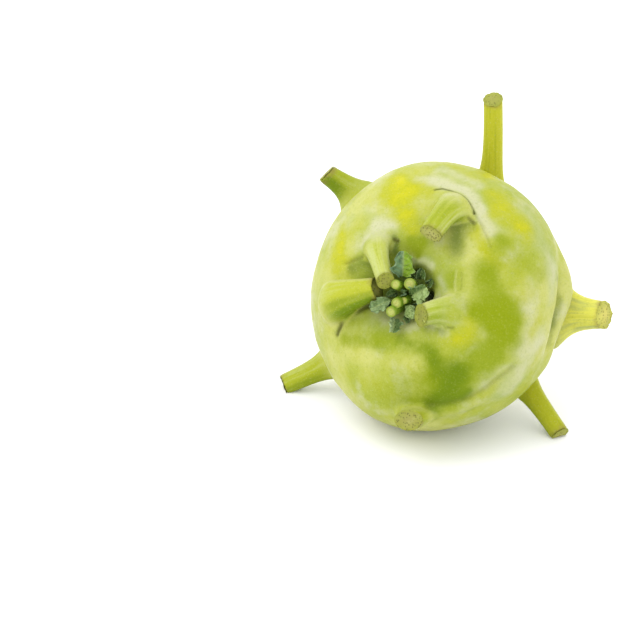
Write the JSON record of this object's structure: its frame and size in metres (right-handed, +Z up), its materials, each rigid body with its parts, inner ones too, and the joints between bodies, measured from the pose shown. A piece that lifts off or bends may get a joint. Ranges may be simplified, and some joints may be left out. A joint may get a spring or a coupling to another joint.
{
  "type": "kohlrabi",
  "caption": "Swollen round kohlrabi stem lying on its side, with the cut stumps of its leaf stalks, a crown of young stalks and small leaves, and a cut root end.",
  "frame": {"origin": "centre of the bounding box in plan, at the height of the surface it rests on", "axes": "+Z up, +X to the right and +Y away as seen from the front; the crown looks forwards, up and to the left, and the cut root end looks back, down and to the right"},
  "size_m": [0.1174, 0.0958, 0.1074],
  "materials": {
    "stem_skin": "pale green skin with a thin waxy bloom, satin",
    "crown_leaf": "blue-green leaf, dull"
  },
  "bodies": {
    "root": {"swollen_stem": "stem_skin", "crown_leaf_top": "crown_leaf", "crown_leaf_right": "crown_leaf", "crown_leaf_left": "crown_leaf", "crown_leaf_low": "crown_leaf", "crown_leaf_front": "crown_leaf", "crown_leaf_inner": "crown_leaf"}
  },
  "joints": []
}
